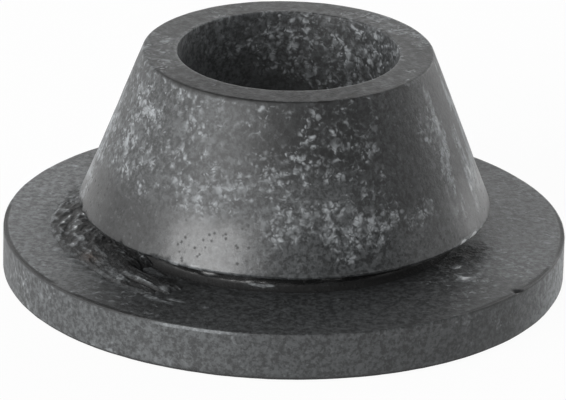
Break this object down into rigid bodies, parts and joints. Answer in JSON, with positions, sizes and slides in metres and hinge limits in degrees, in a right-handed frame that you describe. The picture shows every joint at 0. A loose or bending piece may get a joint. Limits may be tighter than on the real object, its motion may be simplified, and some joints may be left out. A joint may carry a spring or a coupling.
{
  "type": "rubber grommet",
  "caption": "Tapered rubber grommet with a wide round flange, a panel groove, a push-in cone and a straight through bore.",
  "frame": {"origin": "centre of the flange's underside, on the bore's axis", "axes": "+Z along the bore from the flange to the rim of the cone; the part is round, so +X and +Y are free"},
  "size_m": [0.051, 0.051, 0.0216],
  "materials": {
    "rubber": "matte moulded rubber with grey bloom"
  },
  "bodies": {
    "root": {"grommet": "rubber"}
  },
  "joints": []
}
